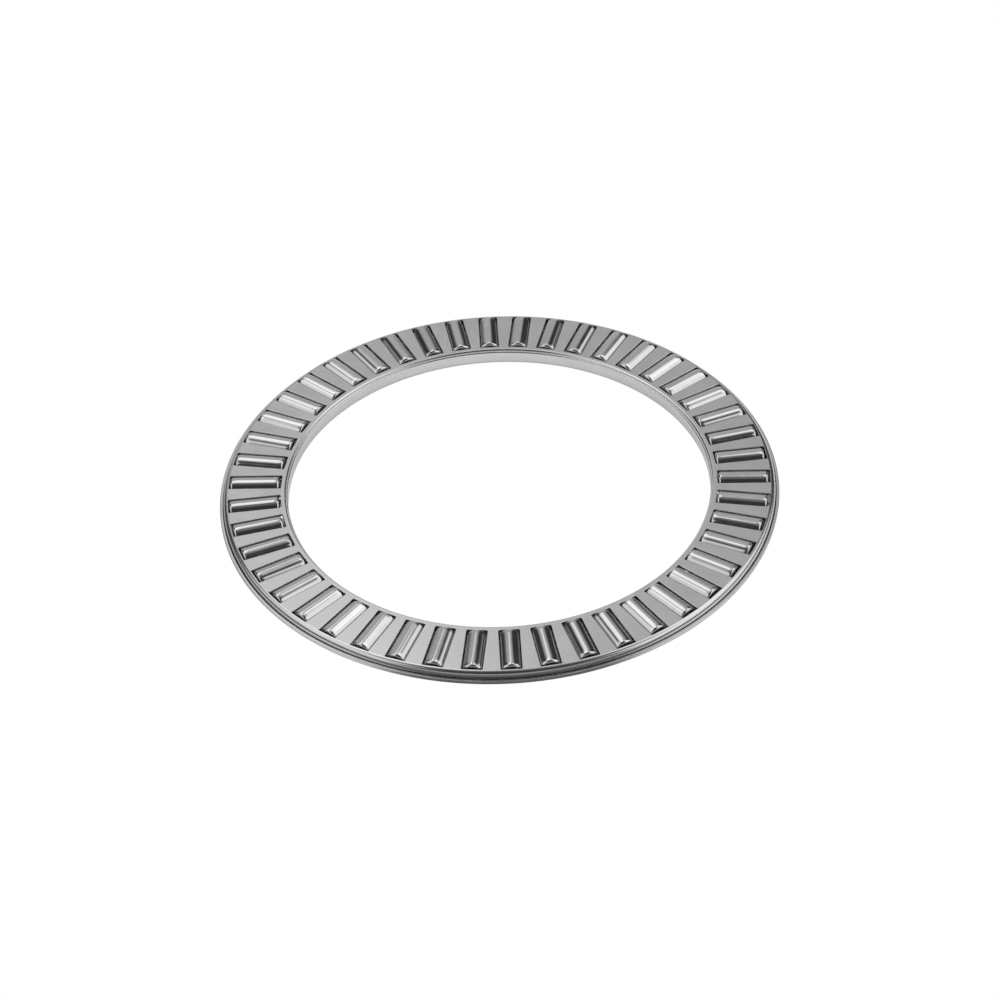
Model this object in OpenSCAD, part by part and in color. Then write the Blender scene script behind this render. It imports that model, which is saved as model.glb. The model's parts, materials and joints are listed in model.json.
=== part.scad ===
// Axial needle roller and cage assembly for a 75 mm shaft and a 100 mm housing.
// A flat ring of needle rollers lies in radial pockets between two pressed steel shells.
// The pockets are narrower than the rollers, so both shells keep the rollers in.
// The frame stands on the lower raceway plane: Z is the bearing's axis, and roller 01 is on +X.

/* [Cage] */
// Bore of the cage, which runs on the shaft
bore_diameter = 75.2; // [75.1:0.1:75.6]
// Outside diameter over the rim
rim_diameter = 99.4; // [99.1:0.1:99.6]
// Height of the cage over both shells
cage_height = 3; // [2.9:0.05:3.1]
// Thickness of the sheet that both shells are pressed from
sheet = 0.45; // [0.4:0.01:0.46]

/* [Rollers] */
// Number of rollers
roller_count = 46; // [12:1:46]
// Diameter of a roller
roller_diameter = 4; // [3.95:0.01:4]
// Length of a roller over its ends
roller_length = 8.8; // [7:0.1:8.8]
// Radius that rounds both ends of a roller
roller_end_radius = 0.5; // [0.1:0.05:0.6]
// Radius from the bearing's axis to the middle of a roller
roller_pitch_radius = 43.45; // [43.3:0.05:43.6]

/* [Pockets] */
// Width of a pocket, less than the roller's diameter
pocket_width = 3.55; // [3.55:0.01:3.65]
// Length of a pocket along the radius
pocket_length = 9.3; // [9.1:0.05:9.35]

/* [Bore edge] */
// Width of the step from the bore wall out to the upper shell's inner edge
bore_step = 0.2; // [0.1:0.05:0.3]
// Radius of the upper shell's rolled inner edge
top_edge_radius = 0.22; // [0.1:0.01:0.23]
// Outer radius of the bend from the lower face into the bore wall
bore_bend_radius = 0.55; // [0.5:0.01:0.6]

/* [Rim] */
// Outer radius of the upper shell's bend at the rim
upper_bend_radius = 0.9; // [0.7:0.05:0.9]
// Depth of the upper shell's skirt below the top face
skirt_depth = 1.5; // [1.3:0.05:1.55]
// Gap between the skirt and the lip that surrounds it
skirt_gap = 0.2; // [0.1:0.05:0.2]
// Depth of the lip's top edge below the top face
lip_depth = 1.2; // [1.1:0.05:1.25]
// Rise of the 45 degree flank under the lip
flank_rise = 1.2; // [1.1:0.05:1.25]
// Outer radius of the two bends at the ends of the flank
flank_bend_radius = 0.7; // [0.6:0.05:0.7]
// Radius on the corners of the lip's cut edge
lip_edge_radius = 0.1; // [0.05:0.01:0.15]

/* [Hidden] */
$fn = 96;
pad = 1;                                   // how far a cutter runs past what it cuts
axis_z = roller_diameter / 2;              // height of every roller's axis
bottom_z = axis_z - cage_height / 2;       // lower face of the cage
top_z = axis_z + cage_height / 2;          // upper face of the cage
seat_z = top_z - sheet;                    // underside of the upper shell
bore_r = bore_diameter / 2;
rim_r = rim_diameter / 2;
upper_edge_r = bore_r + bore_step;         // inner edge of the upper shell
pocket_inner_r = roller_pitch_radius - pocket_length / 2;
skirt_r = rim_r - sheet - skirt_gap;       // outside of the skirt
lip_top_z = top_z - lip_depth;
flank_angle = 45;
flank_foot_r = rim_r - flank_rise;         // where the flank would meet the lower face
flank_head_z = bottom_z + flank_rise;      // where the flank would meet the lip
bend_reach = flank_bend_radius * tan(flank_angle / 2);   // from that corner to the bend's end
pitch_angle = 360 / roller_count;
roller_numbers = [1 : roller_count];

function two_digits(n) = n < 10 ? str("0", n) : str(n);
function roller_name(n) = str("roller_", two_digits(n));

// A rectangle between two corners of the section, given as [radius, height].
module block(low, high) {
    translate(low) square(high - low);
}

// A bend in the sheet: part of a ring round a centre, from one direction to another.
module sheet_bend(centre, outer_radius, from, to) {
    reach = 2 * outer_radius;
    translate(centre) intersection() {
        difference() {
            circle(outer_radius);
            circle(outer_radius - sheet);
        }
        polygon([
            [0, 0],
            reach * [cos(from), sin(from)],
            reach * [cos((from + to) / 2), sin((from + to) / 2)],
            reach * [cos(to), sin(to)]
        ]);
    }
}

// Section of the upper shell: a flat annulus with a skirt bent down at the rim.
module upper_section() {
    bend_r = skirt_r - upper_bend_radius;
    block([upper_edge_r + top_edge_radius, seat_z], [bend_r, top_z]);
    block([upper_edge_r, seat_z], [upper_edge_r + top_edge_radius, top_z - top_edge_radius]);
    translate([upper_edge_r + top_edge_radius, top_z - top_edge_radius]) circle(top_edge_radius);
    sheet_bend([bend_r, top_z - upper_bend_radius], upper_bend_radius, 0, 90);
    block([skirt_r - sheet, top_z - skirt_depth], [skirt_r, top_z - upper_bend_radius]);
}

// The wall of the bore, which stands up from the lower shell and carries the upper one.
module bore_wall_section() {
    bend_centre = [bore_r + bore_bend_radius, bottom_z + bore_bend_radius];
    round_z = seat_z - bore_step;
    sheet_bend(bend_centre, bore_bend_radius, 180, 270);
    block([bore_r, bend_centre[1]], [bore_r + sheet, round_z]);
    block([bore_r + bore_step, round_z], [bore_r + sheet, seat_z]);
    translate([bore_r + bore_step, round_z]) circle(bore_step);
}

// The rim of the lower shell: a 45 degree flank, then an upright lip round the skirt.
module rim_section() {
    foot = [flank_foot_r - bend_reach, bottom_z + flank_bend_radius];
    head = [rim_r - flank_bend_radius, flank_head_z + bend_reach];
    along = [cos(flank_angle), sin(flank_angle)];
    inward = sheet * [-sin(flank_angle), cos(flank_angle)];
    flank_start = [flank_foot_r, bottom_z] + bend_reach * along;
    flank_end = [rim_r, flank_head_z] - bend_reach * along;
    sheet_bend(foot, flank_bend_radius, 270, 270 + flank_angle);
    polygon([flank_start, flank_end, flank_end + inward, flank_start + inward]);
    sheet_bend(head, flank_bend_radius, 270 + flank_angle, 360);
    block([rim_r - sheet, head[1]], [rim_r, lip_top_z - lip_edge_radius]);
    corners = [rim_r - sheet + lip_edge_radius, rim_r - lip_edge_radius];
    block([corners[0], lip_top_z - 2 * lip_edge_radius], [corners[1], lip_top_z]);
    for (r = corners) translate([r, lip_top_z - lip_edge_radius]) circle(lip_edge_radius);
}

// Section of the lower shell: bore wall, flat annulus and rim.
module lower_section() {
    bore_wall_section();
    block([bore_r + bore_bend_radius, bottom_z], [flank_foot_r - bend_reach, bottom_z + sheet]);
    rim_section();
}

// The pocket openings, one for each roller, cut through a shell from one height to another.
module pockets(low_z, high_z) {
    for (n = roller_numbers)
        rotate([0, 0, (n - 1) * pitch_angle])
            translate([pocket_inner_r, -pocket_width / 2, low_z])
                cube([pocket_length, pocket_width, high_z - low_z]);
}

module upper_cage_shell() {
    color([0.76, 0.76, 0.75]) difference() {
        rotate_extrude() upper_section();
        pockets(seat_z - sheet / 2, top_z + pad);
    }
}

module lower_cage_shell() {
    color([0.70, 0.70, 0.69]) difference() {
        rotate_extrude() lower_section();
        pockets(bottom_z - pad, bottom_z + 1.5 * sheet);
    }
}

// Half of a roller's outline, from its axis outwards, with both ends rounded.
module roller_section() {
    radius = roller_diameter / 2;
    block([0, 0], [radius - roller_end_radius, roller_length]);
    block([0, roller_end_radius], [radius, roller_length - roller_end_radius]);
    for (z = [roller_end_radius, roller_length - roller_end_radius])
        translate([radius - roller_end_radius, z]) circle(roller_end_radius);
}

// One needle roller, lying along the radius.
module roller(n) {
    color([0.50, 0.50, 0.51])
        rotate([0, 0, (n - 1) * pitch_angle])
            translate([roller_pitch_radius - roller_length / 2, 0, axis_z])
                rotate([0, 90, 0]) rotate_extrude() roller_section();
}

upper_cage_shell();
lower_cage_shell();
for (n = roller_numbers)
    roller(n);
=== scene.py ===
"""Axial needle roller and cage assembly: 46 polished rollers in a cage of two pressed steel shells."""
import json
import math
import random

import bpy
from mathutils import Matrix, Vector


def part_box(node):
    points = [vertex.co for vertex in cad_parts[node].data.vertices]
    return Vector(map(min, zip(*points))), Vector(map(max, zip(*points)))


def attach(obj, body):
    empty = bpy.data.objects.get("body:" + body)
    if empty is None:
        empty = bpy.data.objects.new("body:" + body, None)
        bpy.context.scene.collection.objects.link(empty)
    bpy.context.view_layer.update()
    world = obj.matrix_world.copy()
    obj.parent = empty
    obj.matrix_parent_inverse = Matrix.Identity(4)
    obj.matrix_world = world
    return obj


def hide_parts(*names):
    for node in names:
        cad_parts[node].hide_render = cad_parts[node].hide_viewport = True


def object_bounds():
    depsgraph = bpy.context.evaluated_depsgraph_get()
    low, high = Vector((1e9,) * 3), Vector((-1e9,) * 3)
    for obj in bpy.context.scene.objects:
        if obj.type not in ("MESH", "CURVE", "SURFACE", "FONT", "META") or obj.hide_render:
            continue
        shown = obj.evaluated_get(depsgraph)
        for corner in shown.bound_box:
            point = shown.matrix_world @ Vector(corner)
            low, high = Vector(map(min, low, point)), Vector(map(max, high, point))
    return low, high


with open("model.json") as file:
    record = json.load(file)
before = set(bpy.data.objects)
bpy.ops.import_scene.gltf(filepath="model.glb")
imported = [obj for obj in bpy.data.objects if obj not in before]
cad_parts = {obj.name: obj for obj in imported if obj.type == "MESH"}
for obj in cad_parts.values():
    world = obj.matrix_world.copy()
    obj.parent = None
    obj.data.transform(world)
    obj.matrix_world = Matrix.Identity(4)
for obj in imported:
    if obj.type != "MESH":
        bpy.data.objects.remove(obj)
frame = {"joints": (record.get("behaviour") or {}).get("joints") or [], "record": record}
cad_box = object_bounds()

MM = 0.001
TONE_SEED = 46
random.seed(TONE_SEED)

# ---------------------------------------------------------------- dimensions, in metres

upper_low, upper_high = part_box("upper_cage_shell")
lower_low, lower_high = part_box("lower_cage_shell")
roller_low, roller_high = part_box("roller_01")
mounts = {m["name"]: m for m in frame["record"]["mounts"]}
roller_names = [j["child"] for j in frame["joints"]]
roller_count = len(roller_names)
pitch_angle = 2 * math.pi / roller_count

roller_length = roller_high.x - roller_low.x
roller_radius = (roller_high.z - roller_low.z) / 2
pitch_radius = (roller_high.x + roller_low.x) / 2
axis_z = (roller_high.z + roller_low.z) / 2
bore_r = mounts["shaft_bore"]["dims"]["r_mm"] * MM
rim_r = lower_high.x
skirt_r = upper_high.x
top_z = upper_high.z
bottom_z = lower_low.z
seat_z = lower_high.z
skirt_z = upper_low.z
sheet = top_z - seat_z

BORE_STEP = 0.2 * MM            # from the bore wall out to the upper shell's edge
TOP_EDGE_RADIUS = 0.43 * MM     # rolls the upper shell's edge over nearly the whole sheet
SEAT_EDGE_RADIUS = 0.02 * MM    # breaks the sharp edges where the two shells meet
BORE_BEND_RADIUS = 0.55 * MM    # outside of the bend from the lower face into the bore wall
UPPER_BEND_RADIUS = 0.9 * MM    # outside of the bend from the top face into the skirt
SKIRT_EDGE_RADIUS = 0.06 * MM   # on the skirt's cut edge
LIP_DEPTH = 1.2 * MM            # from the top face down to the lip's cut edge
LIP_EDGE_RADIUS = 0.1 * MM
LIP_UPSET = 0.1 * MM            # how far the crimped edge swells inwards, towards the skirt
FLANK_RISE = 1.2 * MM           # height of the flank under the lip
FLANK_BEND_RADIUS = 0.7 * MM    # outside of the bends at both ends of the flank
FLANK_ANGLE = 45                # degrees from the lower face

POCKET_LENGTH = 9.3 * MM
POCKET_WIDTH = 3.55 * MM
POCKET_CORNER_RADIUS = 0.18 * MM
PUNCH_ROLL = 0.07 * MM          # rounding where the punch enters the sheet
PUNCH_EXIT = 0.03 * MM          # rounding where it leaves

ROLLER_END_RADIUS = 0.45 * MM
CROWN_RADIUS = 7.5 * MM         # relief between a roller's cylinder and its rounded ends
CROWN_LEAN = 4.6                # degrees that the relief has reached at the rounded end
SLIDE = 0.13 * MM               # how far the rollers have slid along their pockets, all one way
SLIDE_DIRECTION = math.radians(130)

# ---------------------------------------------------------------- numbers of faces

CORNER_STEPS = 4        # round a pocket's corner
END_STEPS = 8           # along a pocket's end
SIDE_STEPS = 12         # along a pocket's side
ROLL_STEPS = 3          # round a punched edge
SMALL_EDGE_STEPS = 3    # round the smallest edges of a section
EDGE_STEPS = 8          # round the rolled edges at the bore
LIP_EDGE_STEPS = 5
INSIDE_BEND_STEPS = 4   # round the inside of the lower shell's bends
FLANK_BEND_STEPS = 8
BORE_BEND_STEPS = 12
UPPER_BEND_STEPS = 14
UPPER_INSIDE_STEPS = 8
WALL_STEPS = 3          # up a short upright wall
BORE_WALL_STEPS = 6
ROLLER_SIDES = 72
ROLLER_END_STEPS = 10
CROWN_STEPS = 6
ROLLER_LENGTH_STEPS = 10
ROLLER_END_RINGS = (0.2, 0.45, 0.7)     # rings on a roller's flat end, as shares of its radius

# ---------------------------------------------------------------- mesh code

MERGE_DIGITS = 8    # decimals of a metre to which points that merge agree
CUT_FADE = 4        # how sharply the look of a pocket's cut wall ends at the faces


class Surface:
    """Collects points, exact normals and faces, and merges points that fall on each other.

    Marks are numbers that each point carries for the materials to read."""

    def __init__(self, marks):
        self.points, self.normals, self.faces, self.index = [], [], [], {}
        self.marks = {name: [] for name in marks}

    def point(self, place, normal, **marks):
        """Number of the point at a place, which is added if it isn't there yet."""
        key = tuple(round(c, MERGE_DIGITS) for c in place)
        if key not in self.index:
            self.index[key] = len(self.points)
            self.points.append(tuple(place))
            self.normals.append(tuple(Vector(normal).normalized()))
            for name, values in self.marks.items():
                values.append(marks.get(name, 0.0))
        return self.index[key]

    def grid(self, rows, closed=False):
        """Faces between neighbouring rows of point numbers."""
        for low, high in zip(rows, rows[1:]):
            steps = len(low) if closed else len(low) - 1
            for i in range(steps):
                j = (i + 1) % len(low)
                face = []
                for corner in (low[i], low[j], high[j], high[i]):
                    if corner not in face:
                        face.append(corner)
                if len(face) > 2:
                    self.faces.append(face)

    def object(self, name, material):
        """The finished Blender object."""
        mesh = bpy.data.meshes.new(name)
        mesh.from_pydata(self.points, [], self.faces)
        mesh.validate()
        mesh.polygons.foreach_set("use_smooth", [True] * len(mesh.polygons))
        mesh.normals_split_custom_set_from_vertices(self.normals)
        for mark, values in self.marks.items():
            mesh.attributes.new(mark, "FLOAT", "POINT").data.foreach_set("value", values)
        mesh.materials.append(material)
        piece = bpy.data.objects.new(name, mesh)
        bpy.context.scene.collection.objects.link(piece)
        return piece


def arc(centre, radius, start, end, steps, side=1, **marks):
    """Part of a circle in a section, as (radius, height, normal's radial and axial part, marks)."""
    out = []
    for k in range(steps + 1):
        angle = math.radians(start + (end - start) * k / steps)
        c, s = math.cos(angle), math.sin(angle)
        out.append((centre[0] + radius * c, centre[1] + radius * s, side * c, side * s, marks))
    return out


def straight(start, end, steps, normal, **marks):
    """Part of a straight line in a section, without its ends."""
    out = []
    for k in range(1, steps):
        t = k / steps
        out.append((start[0] + (end[0] - start[0]) * t, start[1] + (end[1] - start[1]) * t,
                    normal[0], normal[1], marks))
    return out


def turned(x, y, z, angle):
    """A point or direction turned about the bearing's axis."""
    c, s = math.cos(angle), math.sin(angle)
    return (x * c - y * s, x * s + y * c, z)


def pocket_outline(offset):
    """A pocket's outline moved outwards by an offset: points from its middle, with normals."""
    half_length = POCKET_LENGTH / 2 - POCKET_CORNER_RADIUS
    half_width = POCKET_WIDTH / 2 - POCKET_CORNER_RADIUS
    radius = POCKET_CORNER_RADIUS + offset
    # corners in order, as signs of their centres, with the steps of the side that follows each
    corners = ((-1, -1, SIDE_STEPS), (1, -1, END_STEPS), (1, 1, SIDE_STEPS), (-1, 1, END_STEPS))
    out = []
    for number, (sx, sy, steps) in enumerate(corners):
        cx, cy = sx * half_length, sy * half_width
        start = 180 + 90 * number
        for k in range(CORNER_STEPS + 1):
            angle = math.radians(start + 90 * k / CORNER_STEPS)
            c, s = math.cos(angle), math.sin(angle)
            out.append((cx + radius * c, cy + radius * s, c, s))
        # the last normal holds along the whole side up to the next corner
        next_x, next_y = corners[(number + 1) % 4][:2]
        first, last = out[-1], (next_x * half_length + radius * c, next_y * half_width + radius * s)
        for k in range(1, steps):
            t = k / steps
            out.append((first[0] + (last[0] - first[0]) * t, first[1] + (last[1] - first[1]) * t, c, s))
    return out


def sector_angles(radius):
    """Angles of the columns across one sector at a radius, which line up with the pocket's end."""
    edge = math.atan2(POCKET_WIDTH / 2 - POCKET_CORNER_RADIUS, radius)
    half = pitch_angle / 2
    steps = CORNER_STEPS // 2
    out = [-half + (half - edge) * k / steps for k in range(steps)]
    out += [-edge + 2 * edge * k / END_STEPS for k in range(END_STEPS)]
    out += [edge + (half - edge) * k / steps for k in range(steps + 1)]
    return out


def sector_outline(inner_r, outer_r):
    """Outline of one sector of the annulus, point for point like pocket_outline."""
    half = pitch_angle / 2
    steps = CORNER_STEPS // 2
    inner_edge = pitch_radius - POCKET_LENGTH / 2 + POCKET_CORNER_RADIUS
    outer_edge = pitch_radius + POCKET_LENGTH / 2 - POCKET_CORNER_RADIUS
    radii = [inner_r + (inner_edge - inner_r) * k / steps for k in range(steps)]
    radii += [inner_edge + (outer_edge - inner_edge) * k / SIDE_STEPS for k in range(SIDE_STEPS)]
    radii += [outer_edge + (outer_r - outer_edge) * k / steps for k in range(steps + 1)]
    inner = [turned(inner_r, 0, 0, a)[:2] for a in sector_angles(inner_r)]
    outer = [turned(outer_r, 0, 0, a)[:2] for a in sector_angles(outer_r)]
    low = [turned(r, 0, 0, -half)[:2] for r in radii]
    high = [turned(r, 0, 0, half)[:2] for r in radii]
    # from the low side's inner corner: outwards, across, back inwards, and across again
    ring = low[:-1] + outer[:-1] + high[:0:-1] + inner[:0:-1]
    # pocket_outline starts half a corner before the low side's inner corner
    return ring[-steps:] + ring[:-steps]


def shell(name, material, inner_strip, outer_strip, faces_z, punched_from_top):
    """A pressed ring with pockets: two flat faces with openings between an inner and an outer strip."""
    # Marks: wall picks the grain, cut darkens and roughens punched faces, edge carries a painted highlight.
    surface = Surface(("wall", "cut", "edge"))
    outline = sector_outline(inner_strip[0][0], outer_strip[0][0])
    high_z, low_z = faces_z
    rolls = (PUNCH_ROLL, PUNCH_EXIT)
    top_roll, bottom_roll = rolls if punched_from_top else rolls[::-1]
    quarter = [math.pi / 2 * k / ROLL_STEPS for k in range(ROLL_STEPS + 1)]

    def strip(section, angle, flip):
        rows = []
        columns = [a + angle for a in sector_angles(section[0][0])]
        for r, z, nr, nz, marks in section:
            rows.append([surface.point(turned(r, 0, z, a), turned(nr, 0, nz, a), **marks)
                         for a in columns])
        surface.grid(rows[::-1] if flip else rows)

    def flat_row(angle, z, normal_z):
        return [surface.point(turned(x, y, z, angle), (0, 0, normal_z)) for x, y in outline]

    def pocket_row(angle, offset, z, upwards, sideways):
        """One row round a pocket, whose normal leans from the face into the pocket."""
        row = []
        for x, y, nx, ny in pocket_outline(offset):
            place = turned(pitch_radius + x, y, z, angle)
            normal = turned(-nx * sideways, -ny * sideways, upwards, angle)
            # The edge mark carries a painted highlight onto the pocket's rounded rim.
            row.append(surface.point(place, normal, edge=sideways, cut=sideways ** CUT_FADE))
        return row

    for sector in range(roller_count):
        angle = sector * pitch_angle
        strip(inner_strip, angle, False)
        strip(outer_strip, angle, True)
        rows = [flat_row(angle, high_z, 1)]
        for a in quarter:
            offset, drop = top_roll * (1 - math.sin(a)), top_roll * (1 - math.cos(a))
            rows.append(pocket_row(angle, offset, high_z - drop, math.cos(a), math.sin(a)))
        for a in quarter:
            offset, rise = bottom_roll * (1 - math.cos(a)), bottom_roll * (1 - math.sin(a))
            rows.append(pocket_row(angle, offset, low_z + rise, -math.sin(a), math.cos(a)))
        rows.append(flat_row(angle, low_z, -1))
        surface.grid(rows, closed=True)
    return surface.object(name, material)


def upper_strips():
    """Sections of the upper shell inside and outside its flat part."""
    edge_r, seat_edge = bore_r + BORE_STEP, SEAT_EDGE_RADIUS
    # The edge marks here carry a painted highlight onto the rolled edges at the bore.
    inner = arc((edge_r + TOP_EDGE_RADIUS, top_z - TOP_EDGE_RADIUS), TOP_EDGE_RADIUS, 90, 180,
                EDGE_STEPS, edge=0.6)
    inner += arc((edge_r + seat_edge, seat_z + seat_edge), seat_edge, 180, 270,
                 SMALL_EDGE_STEPS, edge=0.3)
    inner.append((edge_r + TOP_EDGE_RADIUS, seat_z, 0, -1, {}))

    bend_z = top_z - UPPER_BEND_RADIUS
    bend = (skirt_r - UPPER_BEND_RADIUS, bend_z)
    foot = SKIRT_EDGE_RADIUS
    foot_z = skirt_z + foot
    outer = arc(bend, UPPER_BEND_RADIUS, 90, 0, UPPER_BEND_STEPS, wall=0.5)
    outer += straight((skirt_r, bend_z), (skirt_r, skirt_z), WALL_STEPS, (1, 0), wall=1.0)
    outer += arc((skirt_r - foot, foot_z), foot, 0, -90, SMALL_EDGE_STEPS, wall=1.0, cut=1.0)
    outer += arc((skirt_r - sheet + foot, foot_z), foot, 270, 180, SMALL_EDGE_STEPS, wall=1.0, cut=1.0)
    outer += arc(bend, UPPER_BEND_RADIUS - sheet, 0, 90, UPPER_INSIDE_STEPS, side=-1, wall=1.0)
    return inner, outer


def lower_strips():
    """Sections of the lower shell inside and outside its flat part."""
    bend = (bore_r + BORE_BEND_RADIUS, bottom_z + BORE_BEND_RADIUS)
    wall_r, round_z, seat_edge = bore_r + sheet, seat_z - BORE_STEP, SEAT_EDGE_RADIUS
    # The edge marks here carry a painted highlight onto the bore's round and the lip's rounded edges.
    inner = arc(bend, BORE_BEND_RADIUS - sheet, 270, 180, INSIDE_BEND_STEPS, side=-1)
    inner += straight((wall_r, bend[1]), (wall_r, seat_z), WALL_STEPS, (1, 0), wall=1.0)
    inner += arc((wall_r - seat_edge, seat_z - seat_edge), seat_edge, 0, 90, SMALL_EDGE_STEPS, wall=1.0)
    inner += arc((bore_r + BORE_STEP, round_z), BORE_STEP, 90, 180, EDGE_STEPS, wall=1.0, edge=0.5)
    inner += straight((bore_r, round_z), (bore_r, bend[1]), BORE_WALL_STEPS, (-1, 0), wall=1.0)
    inner += arc(bend, BORE_BEND_RADIUS, 180, 270, BORE_BEND_STEPS, wall=0.7)

    reach = FLANK_BEND_RADIUS * math.tan(math.radians(FLANK_ANGLE) / 2)
    foot = (rim_r - FLANK_RISE - reach, bottom_z + FLANK_BEND_RADIUS)
    head = (rim_r - FLANK_BEND_RADIUS, bottom_z + FLANK_RISE + reach)
    slope = 270 + FLANK_ANGLE
    inside = FLANK_BEND_RADIUS - sheet
    edge, edge_z = LIP_EDGE_RADIUS, top_z - LIP_DEPTH - LIP_EDGE_RADIUS
    swollen_r = rim_r - sheet - LIP_UPSET
    outer = arc(foot, inside, 270, slope, INSIDE_BEND_STEPS, side=-1, wall=0.5)
    outer += arc(head, inside, slope, 360, INSIDE_BEND_STEPS, side=-1, wall=1.0)
    outer += arc((swollen_r + edge, edge_z), edge, 180, 90, LIP_EDGE_STEPS, wall=1.0, cut=0.2, edge=0.6)
    outer += arc((rim_r - edge, edge_z), edge, 90, 0, LIP_EDGE_STEPS, wall=1.0, cut=0.3, edge=0.8)
    outer += straight((rim_r, edge_z), (rim_r, head[1]), WALL_STEPS, (1, 0), wall=1.0)
    outer += arc(head, FLANK_BEND_RADIUS, 360, slope, FLANK_BEND_STEPS, wall=1.0)
    outer += arc(foot, FLANK_BEND_RADIUS, slope, 270, FLANK_BEND_STEPS, wall=0.8)
    return inner, outer


def roller(number, name, material):
    """One needle roller: turned about its own axis, with relieved and rounded ends."""
    surface = Surface(("end", "tone"))
    tone = random.random()
    half, radius, corner = roller_length / 2, roller_radius, ROLLER_END_RADIUS
    lean = math.radians(CROWN_LEAN)
    drop = CROWN_RADIUS * (1 - math.cos(lean))
    crown = half - corner * (1 - math.sin(lean)) - CROWN_RADIUS * math.sin(lean)
    corner_r, crown_r = radius - drop - corner * math.cos(lean), radius - CROWN_RADIUS
    section = [(radius * share, -half, 0, -1, {"end": 1.0}) for share in (0.0, *ROLLER_END_RINGS)]
    section += arc((corner_r, -half + corner), corner, -90, -CROWN_LEAN, ROLLER_END_STEPS)
    section += arc((crown_r, -crown), CROWN_RADIUS, -CROWN_LEAN, 0, CROWN_STEPS)[1:]
    section += straight((radius, -crown), (radius, crown), ROLLER_LENGTH_STEPS, (1, 0))
    section += arc((crown_r, crown), CROWN_RADIUS, 0, CROWN_LEAN, CROWN_STEPS)[:-1]
    section += arc((corner_r, half - corner), corner, CROWN_LEAN, 90, ROLLER_END_STEPS)
    section += [(radius * share, half, 0, 1, {"end": 1.0}) for share in (*ROLLER_END_RINGS[::-1], 0.0)]
    rows = []
    for r, x, nr, nx, marks in section:
        row = []
        for k in range(ROLLER_SIDES):
            a = 2 * math.pi * k / ROLLER_SIDES
            place = (x, r * math.cos(a), r * math.sin(a))
            normal = (nx, nr * math.cos(a), nr * math.sin(a))
            row.append(surface.point(place, normal, tone=tone, **marks))
        rows.append(row)
    surface.grid(rows, closed=True)
    piece = surface.object(name, material)
    angle = number * pitch_angle
    slid = pitch_radius + SLIDE * math.cos(angle - SLIDE_DIRECTION)
    piece.matrix_world = Matrix.Rotation(angle, 4, "Z") @ Matrix.Translation((slid, 0, axis_z))
    return piece


# ---------------------------------------------------------------- materials

CAGE_REFLECTANCE = 0.62
CAGE_ROUGHNESS = 0.2
CAGE_TINT = 0.99            # share of blue, which makes the sheet a trace warmer than grey
CUT_DARKENING = 0.12        # of the punched walls, which are rougher too
CUT_ROUGHENING = 0.15
EDGE_PAINTED_HIGHLIGHT = 0.05     # painted highlight along the rounded edges, as a lighter colour
ROLLER_REFLECTANCE = 0.62
ROLLER_ROUGHNESS = 0.12
END_DARKENING = 0.1         # of the rollers' end faces, which are ground and not polished
END_ROUGHENING = 0.16
NOISE_RANGE = (0.3, 0.7)    # holds nearly all values of a noise texture

# Sizes of the noises, in cells per metre: along and then across the lines where there are two.
FLAT_GRAIN = (260, 6500)
WALL_GRAIN = (120, 9000)
GRINDING = (220, 9000)
SATIN, STAIN, CLOUD, HAZE = 4200, 700, 160, 420


class Nodes:
    """Short forms for building a node tree."""

    def __init__(self, tree):
        self.tree = tree
        tree.nodes.clear()

    def add(self, kind, inputs=None, **settings):
        node = self.tree.nodes.new(kind)
        for key, value in settings.items():
            setattr(node, key, value)
        for key, value in (inputs or {}).items():
            if isinstance(value, bpy.types.NodeSocket):
                self.tree.links.new(value, node.inputs[key])
            else:
                node.inputs[key].default_value = value
        return node

    def math(self, operation, *values):
        return self.add("ShaderNodeMath", dict(enumerate(values)), operation=operation).outputs[0]

    def times(self, *values):
        return self.math("MULTIPLY", *values)

    def sum(self, first, *others):
        for value in others:
            first = self.math("ADD", first, value)
        return first

    def length(self, x, y):
        return self.math("SQRT", self.math("ADD", self.times(x, x), self.times(y, y)))

    def mark(self, name):
        return self.add("ShaderNodeAttribute", attribute_name=name).outputs["Fac"]

    def noise(self, vector, scale=1.0, detail=3.0, roughness=0.5):
        inputs = {"Vector": vector, "Scale": scale, "Detail": detail, "Roughness": roughness}
        return self.add("ShaderNodeTexNoise", inputs).outputs["Fac"]

    def spread(self, value, low, high, from_low=0.0, from_high=1.0, smooth=False):
        """The value moved linearly or smoothly from one range to another, and held at its ends."""
        inputs = {"Value": value, "From Min": from_low, "From Max": from_high, "To Min": low, "To Max": high}
        kind = "SMOOTHSTEP" if smooth else "LINEAR"
        return self.add("ShaderNodeMapRange", inputs, interpolation_type=kind).outputs["Result"]

    def swing(self, noise, low, high=None):
        """A noise as a number between low and high, or that far either side of 0."""
        low, high = (-low, low) if high is None else (low, high)
        return self.spread(noise, low, high, *NOISE_RANGE)

    def vector(self, x, y, z):
        return self.add("ShaderNodeCombineXYZ", {0: x, 1: y, 2: z}).outputs[0]

    def grey(self, value, blue=None):
        inputs = {0: value, 1: value, 2: value if blue is None else blue}
        return self.add("ShaderNodeCombineColor", inputs).outputs[0]

    def metal(self, colour, roughness, bump):
        inputs = {"Base Color": colour, "Metallic": 1.0, "Roughness": roughness, "Normal": bump}
        shader = self.add("ShaderNodeBsdfPrincipled", inputs)
        self.add("ShaderNodeOutputMaterial", {0: shader.outputs[0]})


def new_material(name):
    material = bpy.data.materials.new(name)
    material.use_nodes = True
    return material, Nodes(material.node_tree)


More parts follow.
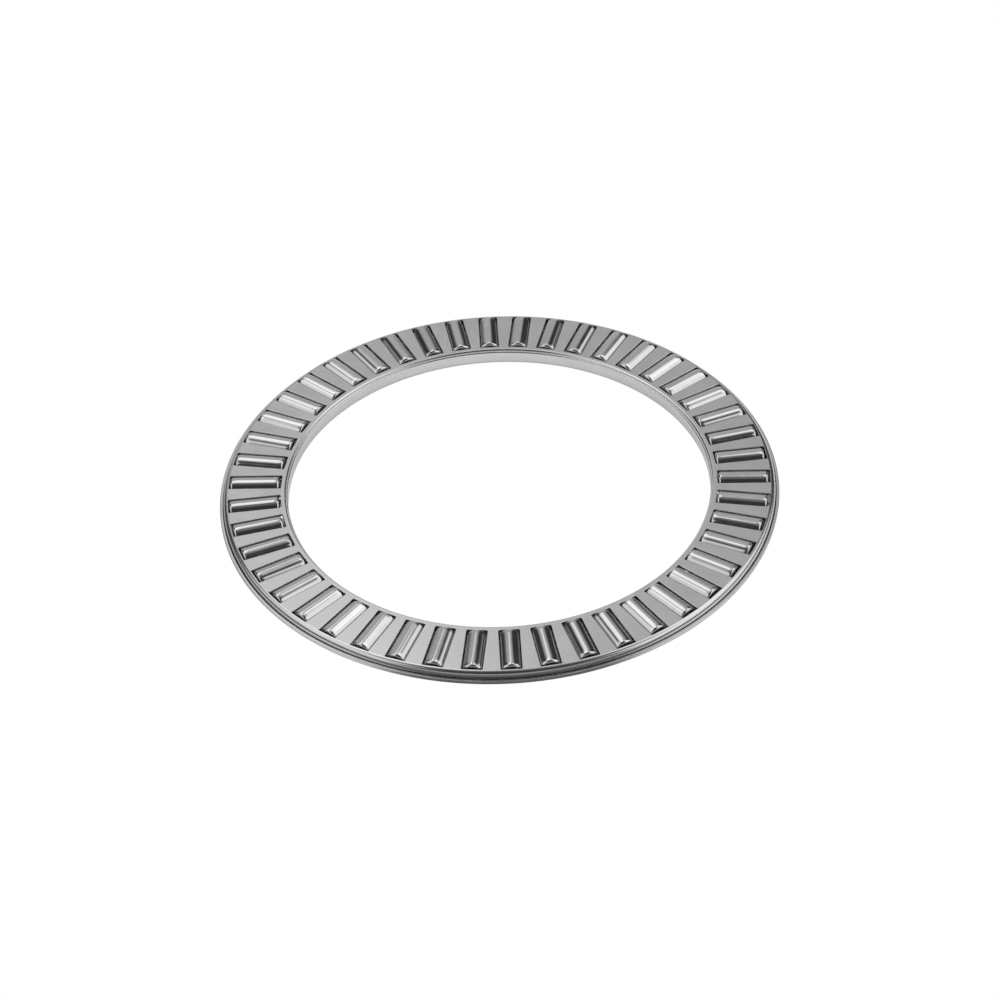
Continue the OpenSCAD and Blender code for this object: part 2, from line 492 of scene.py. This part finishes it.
def cage_steel():
    """Pressed sheet steel: satin, with a fine grain along the radius and drawing lines on the walls."""
    material, n = new_material("cage_satin_steel")
    place = n.add("ShaderNodeTexCoord").outputs["Object"]
    x, y, z = n.add("ShaderNodeSeparateXYZ", {0: place}).outputs
    radius = n.length(x, y)
    around = n.times(n.math("ARCTAN2", y, x), rim_r)
    wall, cut, edge = n.mark("wall"), n.mark("cut"), n.mark("edge")

    flat_grain = n.noise(n.vector(n.times(radius, FLAT_GRAIN[0]), n.times(around, FLAT_GRAIN[1]), z))
    wall_grain = n.noise(n.vector(n.times(around, WALL_GRAIN[0]), n.times(z, WALL_GRAIN[1]), radius))
    grain = n.add("ShaderNodeMix", {0: wall, 2: flat_grain, 3: wall_grain}).outputs[0]
    satin = n.noise(place, SATIN, 3, 0.6)
    cloud = n.noise(place, CLOUD, 3, 0.55)
    stain = n.noise(place, STAIN, 4, 0.6)

    tone = n.sum(n.swing(cloud, 0.02), n.swing(satin, 0.008), n.swing(grain, 0.045))
    # Cut faces are darker; the edges get a painted highlight, a lighter colour.
    tone = n.sum(tone, n.times(cut, -CUT_DARKENING), n.times(edge, EDGE_PAINTED_HIGHLIGHT))
    tone = n.sum(tone, n.spread(stain, 0.0, -0.015, 0.58, 0.75))
    value = n.sum(tone, CAGE_REFLECTANCE)
    rough = n.sum(n.swing(grain, 0.03), n.swing(cloud, 0.03), CAGE_ROUGHNESS, n.times(cut, CUT_ROUGHENING))
    height = n.sum(n.times(grain, 0.85), n.times(satin, 0.15))
    bump = n.add("ShaderNodeBump", {"Strength": 0.22, "Distance": 0.005 * MM, "Height": height}).outputs[0]
    n.metal(n.grey(value, n.times(value, CAGE_TINT)), rough, bump)
    return material


def roller_steel():
    """Ground and polished bearing steel: near mirror, with faint grinding lines round it."""
    material, n = new_material("roller_polished_steel")
    place = n.add("ShaderNodeTexCoord").outputs["Object"]
    x, y, z = n.add("ShaderNodeSeparateXYZ", {0: place}).outputs
    end, own_tone = n.mark("end"), n.mark("tone")
    around = n.times(n.math("ARCTAN2", y, z), roller_radius)
    shift = n.times(own_tone, 37.0)     # gives each roller its own part of every noise

    lines = n.vector(n.times(x, GRINDING[1]), n.times(around, GRINDING[0]), shift)
    lines = n.noise(lines, roughness=0.6)
    rings = n.noise(n.vector(n.times(n.length(y, z), GRINDING[1]), shift, shift), detail=2)
    grain = n.add("ShaderNodeMix", {0: end, 2: lines, 3: rings}).outputs[0]
    haze = n.noise(n.vector(n.times(x, HAZE), n.times(around, HAZE), shift))

    tone = n.sum(n.spread(own_tone, -0.03, 0.03), n.swing(haze, 0.025), n.swing(grain, 0.03))
    value = n.sum(tone, n.times(end, -END_DARKENING), ROLLER_REFLECTANCE)
    rough = n.sum(n.swing(haze, -0.02, 0.03), ROLLER_ROUGHNESS, n.times(end, END_ROUGHENING))
    bump = n.add("ShaderNodeBump", {"Strength": 0.2, "Distance": 0.003 * MM, "Height": grain}).outputs[0]
    n.metal(n.grey(value), rough, bump)
    return material


# ---------------------------------------------------------------- the bearing

cage_material, roller_material = cage_steel(), roller_steel()

upper = shell("upper_shell_pressing", cage_material, *upper_strips(), (top_z, seat_z), True)
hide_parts("upper_cage_shell")
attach(upper, "cage")

lower = shell("lower_shell_pressing", cage_material, *lower_strips(), (bottom_z + sheet, bottom_z), False)
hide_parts("lower_cage_shell")
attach(lower, "cage")

for number, body in enumerate(roller_names):
    piece = roller(number, "needle_" + body, roller_material)
    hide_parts(body)
    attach(piece, body)

# ---------------------------------------------------------------- camera

CAMERA_TURN = 4.7           # degrees clockwise, seen from above, from looking along +Y
CAMERA_ELEVATION = 40.71    # degrees above the horizon
CAMERA_ROLL = 2.716         # degrees that the picture leans
CAMERA_DISTANCE = 0.4495
AIM_DOWN = 3.71 * MM        # from the ring's centre to the aim point, down the picture
AIM_RIGHT = 0.23 * MM       # and to its right
PICTURE_WIDTH = 36.0        # millimetres on the sensor
LENS = 91.0                 # millimetres

turn = Matrix.Rotation(math.radians(-CAMERA_TURN), 3, "Z")
elevation, roll = math.radians(CAMERA_ELEVATION), math.radians(CAMERA_ROLL)
level_right = turn @ Vector((1, 0, 0))
level_down = turn @ Vector((0, -math.sin(elevation), -math.cos(elevation)))
forward = turn @ Vector((0, math.cos(elevation), -math.sin(elevation)))
right = math.cos(roll) * level_right + math.sin(roll) * level_down
down = -math.sin(roll) * level_right + math.cos(roll) * level_down

ring_centre = Vector((0, 0, top_z))
camera_data = bpy.data.cameras.new("camera")
camera_data.lens, camera_data.sensor_width = LENS, PICTURE_WIDTH
camera_data.clip_start, camera_data.clip_end = 0.01, 50.0
camera = bpy.data.objects.new("camera", camera_data)
camera.location = ring_centre + AIM_RIGHT * right + AIM_DOWN * down - CAMERA_DISTANCE * forward
camera.rotation_mode = "QUATERNION"
camera.rotation_quaternion = Matrix((right, -down, -forward)).transposed().to_quaternion()
bpy.context.scene.collection.objects.link(camera)
bpy.context.scene.camera = camera

# ---------------------------------------------------------------- studio

# Softboxes as (azimuth, half width, lowest and highest elevation, softness, radiance), in degrees.
# Azimuth is counted from the picture's right: 90 is behind the bearing, and 270 is the camera.
SOFTBOXES = (
    (0, 40, 18, 60, 7, 1.15),       # right
    (188, 37, 20, 62, 7, 0.92),     # left
    (58, 17, 48, 69, 5, 0.9),       # behind, upper right
    (116, 22, 46, 73, 4, 0.9),      # behind, upper left
    (98, 26, -8, 46, 8, 0.48),      # behind
    (90, 9, 41.5, 49, 2.5, 0.2),    # behind, a band that the flat faces on the near side show
    (96, 5, 41.5, 49, 2.5, 0.5),    # behind, a brighter part of that band
    (95, 85, 48, 76, 8, 0.5),       # overhead, behind
    (270, 55, 6, 32, 6, 0.4),       # low behind the camera
)
ROOM_RADIANCE = 0.045
CEILING_RADIANCE = 0.15             # straight overhead, faded in over these elevations
CEILING_FADE = (math.radians(72), math.radians(86))
BELOW_RADIANCE = 0.35               # under the floor, faded out over these elevations
BELOW_FADE = (math.radians(-20), math.radians(-5))
BACKDROP_SEEN = 1.0                 # white towards the camera
WHITE = (1, 1, 1, 1)


def build_world():
    """Soft lights in a dim room, which the metal shows, in front of a white backdrop."""
    world = bpy.data.worlds.new("studio")
    bpy.context.scene.world = world
    world.use_nodes = True
    n = Nodes(world.node_tree)
    direction = n.add("ShaderNodeTexCoord").outputs["Generated"]
    height = n.math("ARCSINE", n.add("ShaderNodeSeparateXYZ", {0: direction}).outputs[2])
    total = n.sum(n.spread(height, 0.0, CEILING_RADIANCE, *CEILING_FADE, True), ROOM_RADIANCE)
    for azimuth, half, low, high, soft, radiance in SOFTBOXES:
        angle = math.radians(CAMERA_TURN - azimuth)
        faced = n.add("ShaderNodeVectorRotate", {"Vector": direction, "Angle": angle},
                      rotation_type="Z_AXIS").outputs[0]
        fx, fy, _ = n.add("ShaderNodeSeparateXYZ", {0: faced}).outputs
        aside = n.math("ABSOLUTE", n.math("ARCTAN2", fy, fx))
        across = n.spread(aside, 1.0, 0.0, math.radians(half - soft), math.radians(half + soft), True)
        above = n.spread(height, 0.0, 1.0, math.radians(low - soft), math.radians(low + soft), True)
        under = n.spread(height, 1.0, 0.0, math.radians(high - soft), math.radians(high + soft), True)
        total = n.sum(total, n.times(n.times(across, above), n.times(under, radiance)))
    total = n.sum(total, n.spread(height, BELOW_RADIANCE, 0.0, *BELOW_FADE, True))
    seen = n.add("ShaderNodeLightPath").outputs["Is Camera Ray"]
    strength = n.add("ShaderNodeMix", {0: seen, 2: total, 3: BACKDROP_SEEN}).outputs[0]
    back = n.add("ShaderNodeBackground", {"Color": WHITE, "Strength": strength})
    n.add("ShaderNodeOutputWorld", {0: back.outputs[0]})


FLOOR_HALF = 3.0            # half the floor's width
FLOOR_SEEN = 1.0            # the floor's own glow towards the camera, a plain white sweep
FLOOR_FILL = 0.12           # its glow towards everything else, which reaches under the bearing
FLOOR_ALBEDO = 0.8
PAINTED_SHADE_ALBEDO = 0.06          # painted shade on the floor in front of the bearing, which only the metal shows
PAINTED_SHADE_EDGE = (-49 * MM, -44 * MM)    # where the painted shade fades in, measured towards the picture's back
LEFT_PAINTED_SHADE_ALBEDO = 0.4           # painted shade on the floor to the left of the bearing, which only the metal shows
LEFT_PAINTED_SHADE_EDGE = (-48 * MM, -40 * MM)    # where it fades in, measured towards the picture's right


def build_floor():
    """A white floor under the rollers, seen from above only."""
    surface = Surface(())
    signs = ((-1, -1), (1, -1), (1, 1), (-1, 1))
    corners = [(sx * FLOOR_HALF, sy * FLOOR_HALF, cad_box[0].z) for sx, sy in signs]
    surface.faces.append([surface.point(corner, (0, 0, 1)) for corner in corners])
    material, n = new_material("floor_white")
    place = n.add("ShaderNodeTexCoord").outputs["Object"]
    faced = n.add("ShaderNodeVectorRotate", {"Vector": place, "Angle": math.radians(CAMERA_TURN)},
                  rotation_type="Z_AXIS").outputs[0]
    rightwards, backwards, _ = n.add("ShaderNodeSeparateXYZ", {0: faced}).outputs
    # Painted shade: the floor is darker on the left, and only the metal shows it in reflections.
    side = n.spread(rightwards, LEFT_PAINTED_SHADE_ALBEDO, FLOOR_ALBEDO, *LEFT_PAINTED_SHADE_EDGE, True)
    # Painted shade: the floor is darker in front of the bearing, and only the metal shows it in reflections.
    albedo = n.math("MINIMUM", side, n.spread(backwards, PAINTED_SHADE_ALBEDO, FLOOR_ALBEDO, *PAINTED_SHADE_EDGE, True))
    paper = n.add("ShaderNodeBsdfDiffuse", {"Color": n.grey(albedo)})
    glow = n.add("ShaderNodeEmission", {"Color": WHITE, "Strength": FLOOR_SEEN})
    fill = n.add("ShaderNodeEmission", {"Color": WHITE, "Strength": FLOOR_FILL})
    lit = n.add("ShaderNodeAddShader", {0: paper.outputs[0], 1: fill.outputs[0]})
    seen = n.add("ShaderNodeLightPath").outputs["Is Camera Ray"]
    front = n.add("ShaderNodeMixShader", {0: seen, 1: lit.outputs[0], 2: glow.outputs[0]})
    behind = n.add("ShaderNodeNewGeometry").outputs["Backfacing"]
    clear = n.add("ShaderNodeBsdfTransparent")
    both = n.add("ShaderNodeMixShader", {0: behind, 1: front.outputs[0], 2: clear.outputs[0]})
    n.add("ShaderNodeOutputMaterial", {0: both.outputs[0]})
    surface.object("floor", material)


TABLE_LIGHT_SIZE = 1.2
TABLE_LIGHT_HEIGHT = 0.9
TABLE_LIGHT_POWER = 5.0     # watts


def build_table_light():
    """Lights the floor round the bearing from above; the metal shows only the softboxes."""
    lamp = bpy.data.lights.new("table_light", "AREA")
    lamp.shape, lamp.size, lamp.energy = "SQUARE", TABLE_LIGHT_SIZE, TABLE_LIGHT_POWER
    light = bpy.data.objects.new("table_light", lamp)
    light.location = (0, 0, TABLE_LIGHT_HEIGHT)
    light.visible_glossy = False
    bpy.context.scene.collection.objects.link(light)


build_world()
build_floor()
build_table_light()

view = bpy.context.scene.view_settings
view.view_transform, view.look, view.exposure, view.gamma = "Standard", "None", 0.0, 1.0
